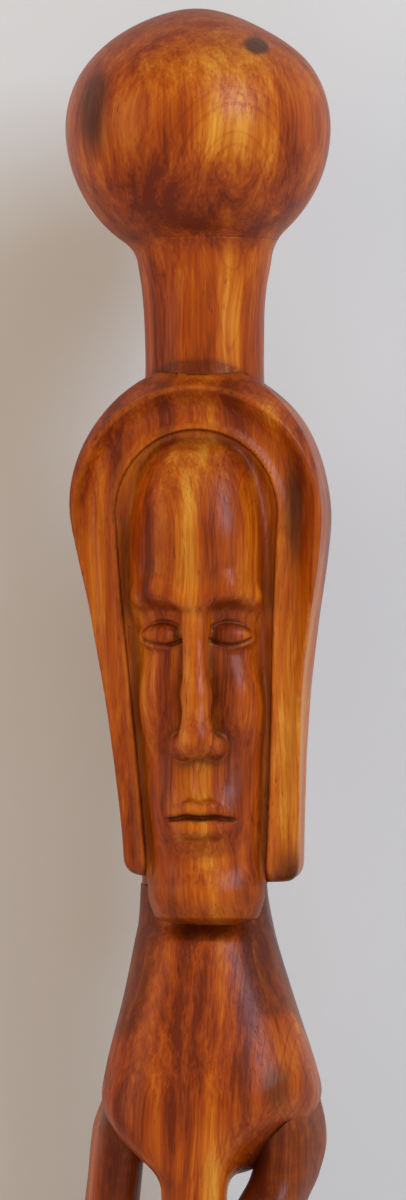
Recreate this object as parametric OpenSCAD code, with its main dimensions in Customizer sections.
// Carved standing figure: a ball knob and neck post on an arched hood, a face block in the hood's hollow,
// a flared cape over a narrow trunk, two free-standing arms, hips, bent legs and a round base.
// Frame: +Z up, the figure faces -Y, origin at the centre of the base's underside.
// Left and right are the figure's own, so its right side is at -X.

/* [Base] */
// Diameter of the round base
base_d = 100; // [86:1:130]
// Thickness of the base
base_h = 18; // [12:1:30]
// Chamfer round the base's top edge
base_chamfer = 2.5; // [0.5:0.5:5]

/* [Legs] */
// Height of a leg from the base to the hips
leg_h = 90; // [72:1:110]
// Width of a thigh
thigh_w = 21; // [16:0.5:25]
// Width of a knee
knee_w = 17; // [12:0.5:20]
// Width of a foot
foot_w = 18; // [14:0.5:22]
// Length of a foot
foot_l = 40; // [30:1:50]
// Distance between the leg axes
leg_spacing = 26; // [25.5:0.5:34]

/* [Hips] */
// Height of the hips
hip_h = 32; // [22:1:44]
// Width of the hips
hip_w = 54; // [48:1:66]
// Depth of the hips from front to back
hip_depth = 42; // [34:1:50]

/* [Torso] */
// Height from the waist to the cape's lower edge
trunk_h = 66; // [54:1:80]
// Width of the trunk under the cape
trunk_w = 14.6; // [12:0.2:18]
// Width of the belly
belly_w = 26; // [20:0.5:32]
// Height of the cape from its lower edge to the hood
cape_h = 66; // [54:1:80]
// Width of the cape at its rim
cape_w = 52; // [44:0.5:62]
// Width of the collar under the hood
collar_w = 27; // [22:0.5:32]
// Depth of the collar from front to back
collar_depth = 27; // [22:0.5:32]

/* [Arms] */
// Width of the straight right arm
right_arm_w = 12.4; // [10:0.2:15]
// Width of the bent left arm
left_arm_w = 14.6; // [10:0.2:17]
// Depth of both arms from front to back
arm_depth = 14; // [10:0.5:17]
// Slope of the seats under the cape that carry the arms, in degrees
seat_slope = 43; // [38:1:48]

/* [Hood] */
// Height from the lappets' ends to the top of the arch
hood_h = 117.4; // [98:0.2:141]
// Width of the hood at its widest
hood_w = 56; // [50:0.2:68]
// Width across the lappets' ends
lappet_span = 38.8; // [34:0.2:48]
// Height of the arched crown above the widest place
crown_h = 32.6; // [27:0.2:39]
// Depth of the hood from its front band to its back
hood_depth = 46; // [40:0.5:56]
// Thickness of a lappet at its end
lappet_t = 5.8; // [4.6:0.2:8]
// How far the lappets' front lies behind the crown's front band
lappet_set_back = 5; // [2:0.5:7]
// Thickness of the front band at its widest
band_t = 9.4; // [7.4:0.2:12]
// Thickness of the arch over the face
arch_t = 14.5; // [12:0.2:18]
// Depth of the hollow that holds the face block
hollow_depth = 11; // [9:0.5:14]

/* [Face block] */
// Drop of the chin below the lappets' ends
chin_drop = 9.1; // [4:0.1:12]
// Height of the nose's tip above the hood's front band
nose_relief = 13.5; // [10:0.5:17]
// Height of the brow above the hood's front band
brow_relief = 8; // [5:0.5:11]
// Height of the lips above the hood's front band
lip_relief = 6; // [3:0.5:9]
// Width of the nose at its wings
nose_w = 12; // [9:0.5:15]

/* [Neck post] */
// Length of the neck post between its two shoulders
neck_l = 34.4; // [28:0.2:42]
// Diameter of the neck post at its waist
neck_d = 26.8; // [23:0.2:32]
// Diameter of the neck post under the ball
neck_top_d = 33; // [29:0.2:38]
// Depth of the socket in the crown, below the top of the arch
crown_socket = 6; // [4:0.5:8]

/* [Ball knob] */
// Diameter of the ball
ball_d = 60; // [50:0.5:72]
// Height of the ball's upper half
ball_top_h = 27.2; // [22:0.2:36]
// Sideways offset of the ball from the base's axis
ball_offset = -1.1; // [-2:0.1:2]

/* [Joinery] */
// Diameter of the neck post's tenons
tenon_d = 12; // [9:0.5:13]
// Length of each tenon
tenon_l = 11; // [8:0.5:13]
// Diameter of the dowels in the head, hips, legs and feet
dowel_d = 7; // [5:0.5:8]
// Length of a dowel on each side of its joint
dowel_reach = 12; // [8:0.5:15]
// Diameter of the pins in the arms and face
pin_d = 4; // [3:0.5:5]
// Length of a pin on each side of its joint
pin_reach = 6; // [4:0.5:7]
// Glue gap between a dowel, pin or tenon and the side of its hole
glue_gap = 0.1; // [0.05:0.05:0.2]
// Space left past the end of a dowel, pin or tenon
end_gap = 0.6; // [0.2:0.2:1.2]
// Clearance round the face block in the hood's hollow
block_gap = 0.15; // [0.05:0.05:0.3]

/* [Hidden] */

// Facets of turned surfaces and of the carved rings
turned_fn = 96;
ring_sides = 36;
overcut = 1;
far = 200;

// Heights, from the ground up
hip_z = base_h + leg_h;
waist_z = hip_z + hip_h;
cape_z = waist_z + trunk_h;
collar_z = cape_z + cape_h;
arch_z = collar_z + hood_h;
crown_z = arch_z - crown_h;
neck_z = arch_z - crown_socket;
neck_top_z = neck_z + neck_l;
ball_r = ball_d / 2;
ball_z = neck_top_z + sqrt(pow(ball_r, 2) - pow(neck_top_d / 2, 2));

// Fore-and-aft places; the front is negative
band_y = -18;
hollow_y = band_y + hollow_depth;
// Axis of the neck's tenons, which keep 1 mm behind the hollow
tenon_y = max(0, hollow_y + tenon_d / 2 + 1);
hood_back_y = band_y + hood_depth;
collar_front_y = hollow_y + 0.6;
collar_y = collar_front_y + collar_depth / 2;

// Trunk and cape
trunk_x = -0.6;
trunk_front_y = -18;
trunk_depth = trunk_w * 1.25;
cape_x = 0.9;
cape_front_y = -17.5;
cape_back_y = 26;
rim_z = cape_z + 13;
seat_z = rim_z + 1;
seat_x = cape_w / 2 - 1.2;
belly_z = waist_z + trunk_h * 0.35;

// Arms
arm_y = 8;
right_arm_x = -20.6;
left_arm_x = 20.8;
hand_z = waist_z + trunk_h * 0.58;
hand_seat = 8.6;
// Reach of the belly's flat round the hand's middle
hand_flat = 17;
hand_turn = 35;

// Face block, in thirds from the hairline to the chin
hair_z = arch_z - arch_t;
chin_z = collar_z - chin_drop;
face_h = hair_z - chin_z;
brow_z = hair_z - face_h / 3;
nose_z = hair_z - face_h * 2 / 3;
mouth_z = nose_z - face_h / 9;
face_pin_z = [hair_z - face_h * 0.2, hair_z - face_h * 0.68];

wood = "peru";
wood_dark = "sienna";
wood_light = "burlywood";

// ---- Shapes shared by the parts ----

// Share of the way from one key to the next: half straight, half eased
function eased(t) = (t + t * t * (3 - 2 * t)) / 2;

// Ring between keys a and b, each [height, centre x, half width, front y, back y, squareness]
function between(a, b, t) = [
    a[0] + (b[0] - a[0]) * t,
    for (i = [1:5]) a[i] + (b[i] - a[i]) * eased(t)
];

// Rings through a list of keys, with a few between each pair
function rings(keys, steps) = concat(
    [for (k = [0:len(keys) - 2], s = [0:steps - 1]) between(keys[k], keys[k + 1], s / steps)],
    [keys[len(keys) - 1]]
);

// Point of a ring at an angle; squareness 2 is an ellipse and more is squarer
function ring_point(ring, angle) = let (
    c = cos(angle),
    s = sin(angle),
    e = 2 / ring[5]
) [
    ring[1] + ring[2] * sign(c) * pow(abs(c), e),
    (ring[3] + ring[4]) / 2 + (ring[4] - ring[3]) / 2 * sign(s) * pow(abs(s), e),
    ring[0]
];

// Closed solid through horizontal rings, listed from the bottom up
module carved(ring_list, sides = ring_sides) {
    last = (len(ring_list) - 1) * sides;
    polyhedron(
        points = [for (ring = ring_list, i = [0:sides - 1]) ring_point(ring, 360 * i / sides)],
        faces = concat(
            [[for (i = [0:sides - 1]) i]],
            [[for (i = [sides - 1:-1:0]) last + i]],
            [for (r = [0:len(ring_list) - 2], i = [0:sides - 1]) let (
                a = r * sides + i,
                b = r * sides + (i + 1) % sides
            ) [a, a + sides, b]],
            [for (r = [0:len(ring_list) - 2], i = [0:sides - 1]) let (
                a = r * sides + i,
                b = r * sides + (i + 1) % sides
            ) [b, a + sides, b + sides]]
        )
    );
}

// Upright round pin centred on the joint plane, which is z = 0
module pin(d, reach) {
    translate([0, 0, -reach])
        cylinder(d = d, h = 2 * reach, $fn = turned_fn);
}

// Hole for such a pin
module pin_hole(d, reach) {
    pin(d + 2 * glue_gap, reach + end_gap);
}

// ---- Places of the joints, each with z = 0 on its joint plane ----

module at_collar() {
    translate([0, collar_y, collar_z]) children();
}

module at_waist() {
    translate([0, trunk_front_y + trunk_depth, waist_z]) children();
}

module at_leg(side, z) {
    translate([side * leg_spacing / 2, 0, z]) children();
}

module at_face_pins() {
    for (z = face_pin_z)
        translate([0, hollow_y, z]) rotate([90, 0, 0]) children();
}

// Slanted seat under one side of the cape; +z points out of the torso
module at_seat(side) {
    translate([cape_x + side * seat_x, arm_y, seat_z])
        rotate([0, side * (180 - seat_slope), 0]) children();
}

// Middle of an arm's top on its seat
module at_shoulder(side) {
    arm_x = side < 0 ? right_arm_x : left_arm_x;
    inset = (seat_x - side * (arm_x - cape_x)) / cos(seat_slope) + pin_d / 2;
    at_seat(side) translate([side * inset, 0, 0]) children();
}

// Flat on the belly under the left hand; +z points out of the torso
module at_hand() {
    translate([trunk_x, trunk_front_y + trunk_depth / 2, hand_z])
        rotate([0, 0, -hand_turn]) rotate([0, 90, 0]) translate([0, 0, hand_seat]) children();
}

// Foot of the right arm on the hips
module at_wrist() {
    translate([right_wrist_x, right_wrist_y, waist_z]) children();
}

right_wrist_x = -hip_w / 2 + right_arm_w / 2 + 0.6;
right_wrist_y = -1;

// ---- Ball and neck ----

module ball_knob() {
    lower_start = -acos(neck_top_d / ball_d);
    color(wood)
        translate([ball_offset, 0, 0])
            difference() {
                translate([0, 0, ball_z])
                    rotate_extrude($fn = turned_fn)
                        polygon(concat(
                            [[0, neck_top_z - ball_z]],
                            [for (k = [0:12]) let (a = lower_start * (1 - k / 12))
                                [ball_r * cos(a), ball_r * sin(a)]],
                            [for (k = [1:15]) let (a = 90 * k / 15)
                                [k == 15 ? 0 : ball_r * cos(a), ball_top_h * sin(a)]]
                        ));
                translate([-ball_offset, tenon_y, neck_top_z]) pin_hole(tenon_d, tenon_l);
            }
}

module neck_post() {
    steps = 14;
    waist_share = 0.25;
    color(wood_light)
        union() {
            rotate_extrude($fn = turned_fn)
                polygon(concat(
                    [[0, neck_z]],
                    [for (k = [0:steps]) let (
                        t = k / steps,
                        rise = max(0, (t - waist_share) / (1 - waist_share))
                    ) [neck_d / 2 + (neck_top_d - neck_d) / 2 * pow(rise, 4), neck_z + neck_l * t]],
                    [[0, neck_top_z]]
                ));
            translate([0, tenon_y, neck_z - tenon_l])
                cylinder(d = tenon_d, h = neck_l + 2 * tenon_l, $fn = turned_fn);
        }
}

// ---- Hood and face block ----

// Front outline of the hollow, or of the block inside it when a gap is given
module hollow_outline(gap, bottom_z) {
    steps = 16;
    half_top = hood_w / 2 - band_t - gap;
    half_end = lappet_span / 2 - lappet_t - gap;
    top_h = hair_z - gap - spring_z;
    polygon(concat(
        [[-half_end, bottom_z], [half_end, bottom_z]],
        [for (k = [0:steps]) let (a = 180 * k / steps) [half_top * cos(a), spring_z + top_h * sin(a)]]
    ));
}

// Height at which the hollow's arched top begins
spring_z = hair_z - 19;

module hood() {
    crown_steps = 9;
    crown_last = 84;
    crown_bevel = 4.5;
    middle_share = 0.45;
    middle_w = lappet_span + (hood_w - lappet_span) * 0.28;
    body = rings([
        [collar_z, 0, lappet_span / 2, band_y + lappet_set_back, hood_back_y - 3, 3.2],
        [collar_z + (crown_z - collar_z) * middle_share, 0, middle_w / 2,
            band_y + lappet_set_back * middle_share, hood_back_y - 1, 3.2],
        [crown_z, 0, hood_w / 2, band_y, hood_back_y, 3]
    ], 4);
    crown = [for (k = [1:crown_steps]) let (a = crown_last * k / crown_steps) [
        crown_z + crown_h * sin(a) / sin(crown_last),
        0,
        hood_w / 2 * cos(a),
        band_y + crown_bevel * pow(sin(a), 12),
        hood_back_y - (hood_depth * 0.75) * (1 - cos(a)),
        3 + 3 * sin(a)
    ]];
    color(wood_dark)
        difference() {
            carved(concat(body, crown));
            translate([0, hollow_y, 0]) rotate([90, 0, 0])
                linear_extrude(far) hollow_outline(0, collar_z - far);
            translate([0, 0, neck_z])
                cylinder(d = neck_d + 2 * block_gap, h = far, $fn = turned_fn);
            translate([0, tenon_y, neck_z]) pin_hole(tenon_d, tenon_l);
            at_collar() pin_hole(dowel_d, dowel_reach);
            at_face_pins() pin_hole(pin_d, pin_reach);
        }
}

// Side outline of the face, from the hairline to the chin
module face_profile() {
    brow_y = band_y - brow_relief;
    lip_y = band_y - lip_relief;
    eye_y = band_y - 1;
    polygon([
        [hollow_y, hair_z], [band_y + 3, hair_z - 1], [band_y - 4, hair_z - 7],
        [brow_y, hair_z - face_h * 0.16], [brow_y, brow_z + 3], [eye_y, brow_z - 4],
        [eye_y, nose_z + 2], [lip_y + 1, nose_z - 6], [lip_y, mouth_z],
        [lip_y + 4, mouth_z - 9], [lip_y + 4, chin_z + 9], [lip_y + 6, chin_z + 2],
        [lip_y + 10, chin_z], [hollow_y, chin_z]
    ]);
}

module nose() {
    bridge_w = nose_w * 0.55;
    tip_y = band_y - nose_relief;
    root_y = band_y + 1;
    hull() {
        translate([0, root_y, nose_z]) linear_extrude(3)
            polygon([[-nose_w / 2, 0], [nose_w / 2, 0], [nose_w / 4, tip_y - root_y], [-nose_w / 4, tip_y - root_y]]);
        translate([0, root_y, brow_z]) linear_extrude(2)
            polygon([[-bridge_w / 2, 0], [bridge_w / 2, 0], [bridge_w / 4, -brow_relief / 2],
                [-bridge_w / 4, -brow_relief / 2]]);
    }
}

module face_block() {
    color(wood)
        difference() {
            union() {
                intersection() {
                    translate([0, hollow_y, 0]) rotate([90, 0, 0])
                        linear_extrude(far) hollow_outline(block_gap, chin_z);
                    translate([-far / 2, 0, 0]) rotate([90, 0, 90])
                        linear_extrude(far) face_profile();
                }
                nose();
            }
            at_face_pins() pin_hole(pin_d, pin_reach);
        }
}

// ---- Torso ----

module cape() {
    carved(rings([
        [cape_z, cape_x, cape_w / 2, cape_front_y, cape_back_y, 2.4],
        [rim_z, cape_x, cape_w / 2, cape_front_y, cape_back_y, 2.4],
        [collar_z, 0, collar_w / 2, collar_front_y, collar_front_y + collar_depth, 2.2]
    ], 8));
}

module trunk() {
    carved(rings([
        [waist_z, 0, belly_w * 0.46, trunk_front_y + 3, trunk_front_y + 31, 2.3],
        [belly_z, 0, belly_w / 2, trunk_front_y - 6, trunk_front_y + 27, 2.1],
        [cape_z - 6, trunk_x, trunk_w / 2, trunk_front_y, trunk_front_y + trunk_depth, 2.4],
        [cape_z + 8, trunk_x, trunk_w / 2 + 3, trunk_front_y, trunk_front_y + trunk_depth, 2.4]
    ], 5));
}

// Space taken by the face block's chin, cut out of the collar behind it
module chin_space() {
    w = lappet_span - 2 * lappet_t + 2 * block_gap;
    translate([-w / 2, hollow_y - far, chin_z - block_gap])
        cube([w, far, chin_drop + block_gap + overcut]);
}

module torso() {
    color(wood)
        difference() {
            union() {
                difference() {
                    cape();
                    for (side = [-1, 1])
                        at_seat(side) translate([-far / 2, -far / 2, 0]) cube([far, far, far]);
                }
                trunk();
            }
            chin_space();
            at_hand() translate([-hand_flat, -hand_flat, 0]) cube([2 * hand_flat, 2 * hand_flat, far]);
            at_collar() pin_hole(dowel_d, dowel_reach);
            at_waist() pin_hole(dowel_d, dowel_reach);
            for (side = [-1, 1])
                at_shoulder(side) pin_hole(pin_d, pin_reach);
            at_hand() pin_hole(pin_d, pin_reach);
        }
}

// ---- Arms ----

module right_arm() {
    half = right_arm_w / 2;
    elbow_z = waist_z + trunk_h * 0.45;
    color(wood)
        difference() {
            carved(rings([
                [waist_z, right_wrist_x, half, right_wrist_y - 7, right_wrist_y + 6, 2.3],
                [waist_z + 9, right_wrist_x - 1, half + 0.6, right_wrist_y - 7, right_wrist_y + 6, 2.3],
                [waist_z + 18, right_arm_x - 1, half - 1.6, arm_y - 10, arm_y + 1, 2],
                [elbow_z, right_arm_x - 2, half, arm_y - arm_depth / 2, arm_y + arm_depth / 2, 2],
                [cape_z, right_arm_x - 0.8, half, arm_y - arm_depth / 2, arm_y + arm_depth / 2, 2],
                [seat_z + 8, right_arm_x + 0.5, half, arm_y - arm_depth / 2, arm_y + arm_depth / 2, 2]
            ], 4), 24);
            at_seat(-1) translate([-far / 2, -far / 2, -far]) cube([far, far, far]);
            at_shoulder(-1) pin_hole(pin_d, pin_reach);
            at_wrist() pin_hole(pin_d, pin_reach);
        }
}

module left_arm() {
    half = left_arm_w / 2;
    color(wood)
        difference() {
            carved(rings([
                [hand_z - 14, 4, half - 4, trunk_front_y - 6, trunk_front_y + 4, 2.2],
                [hand_z - 6, 6, half - 1, trunk_front_y - 7, trunk_front_y + 9, 2.2],
                [hand_z + 1, 9, half, trunk_front_y - 5, trunk_front_y + 11, 2.2],
                [hand_z + 9, 12.5, half - 1.5, trunk_front_y + 2, trunk_front_y + 15, 2],
                [cape_z - 5, left_arm_x - 3.4, half, arm_y - 15, arm_y + 1, 2],
                [cape_z + 4, left_arm_x - 0.6, half - 0.4, arm_y - 9, arm_y + 6, 2],
                [seat_z + 8, left_arm_x, half - 0.8, arm_y - arm_depth / 2, arm_y + arm_depth / 2, 2]
            ], 4), 24);
            at_seat(1) translate([-far / 2, -far / 2, -far]) cube([far, far, far]);
            at_hand() translate([-hand_flat, -far / 2, -far]) cube([far, far, far]);
            at_shoulder(1) pin_hole(pin_d, pin_reach);
            at_hand() pin_hole(pin_d, pin_reach);
        }
}

// ---- Hips, legs and base ----

module hips() {
    color(wood)
        difference() {
            carved(rings([
                [hip_z, 0, hip_w * 0.47, -hip_depth * 0.42, hip_depth * 0.45, 2.8],
                [hip_z + hip_h * 0.4, 0, hip_w / 2, -hip_depth / 2, hip_depth / 2, 2.6],
                [waist_z - 4, 0, hip_w / 2, -hip_depth * 0.46, hip_depth * 0.44, 2.6],
                [waist_z, 0, hip_w / 2 - 1, -hip_depth * 0.42, hip_depth * 0.42, 2.6]
            ], 4));
            at_waist() pin_hole(dowel_d, dowel_reach);
            at_wrist() pin_hole(pin_d, pin_reach);
            for (side = [-1, 1])
                at_leg(side, hip_z) pin_hole(dowel_d, dowel_reach);
        }
}

module leg(side) {
    x = side * leg_spacing / 2;
    heel_y = foot_l * 0.3;
    color(wood)
        difference() {
            carved(rings([
                [base_h, x, foot_w / 2, heel_y - foot_l, heel_y, 2.6],
                [base_h + 6, x, foot_w / 2, heel_y - foot_l * 0.95, heel_y, 2.4],
                [base_h + 17, x, foot_w * 0.4, heel_y - foot_l * 0.5, heel_y - 1, 2.2],
                [base_h + leg_h * 0.38, x, knee_w * 0.46, -8, 11, 2],
                [base_h + leg_h * 0.58, x, knee_w / 2, -17, 4, 2],
                [hip_z - 8, x, thigh_w / 2, -15, 14, 2.2],
                [hip_z, x, thigh_w / 2, -14, 15, 2.3]
            ], 3), 28);
            at_leg(side, hip_z) pin_hole(dowel_d, dowel_reach);
            at_leg(side, base_h) pin_hole(dowel_d, dowel_reach);
        }
}

module right_leg() {
    leg(-1);
}

module left_leg() {
    leg(1);
}

module base() {
    color(wood_dark)
        difference() {
            rotate_extrude($fn = turned_fn)
                polygon([
                    [0, 0], [base_d / 2 - 1, 0], [base_d / 2, 1], [base_d / 2, base_h - base_chamfer],
                    [base_d / 2 - base_chamfer, base_h], [0, base_h]
                ]);
            for (side = [-1, 1])
                at_leg(side, base_h) pin_hole(dowel_d, dowel_reach);
        }
}

// ---- Dowels and pins ----

module face_pins() {
    color(wood_light) at_face_pins() pin(pin_d, pin_reach);
}

module head_dowel() {
    color(wood_light) at_collar() pin(dowel_d, dowel_reach);
}

module arm_dowels() {
    color(wood_light) {
        for (side = [-1, 1])
            at_shoulder(side) pin(pin_d, pin_reach);
        at_hand() pin(pin_d, pin_reach);
        at_wrist() pin(pin_d, pin_reach);
    }
}

module hip_dowel() {
    color(wood_light) at_waist() pin(dowel_d, dowel_reach);
}

module leg_dowels() {
    color(wood_light)
        for (side = [-1, 1])
            at_leg(side, hip_z) pin(dowel_d, dowel_reach);
}

module foot_dowels() {
    color(wood_light)
        for (side = [-1, 1])
            at_leg(side, base_h) pin(dowel_d, dowel_reach);
}

ball_knob();
neck_post();
hood();
face_block();
torso();
right_arm();
left_arm();
hips();
right_leg();
left_leg();
base();
face_pins();
head_dowel();
arm_dowels();
hip_dowel();
leg_dowels();
foot_dowels();
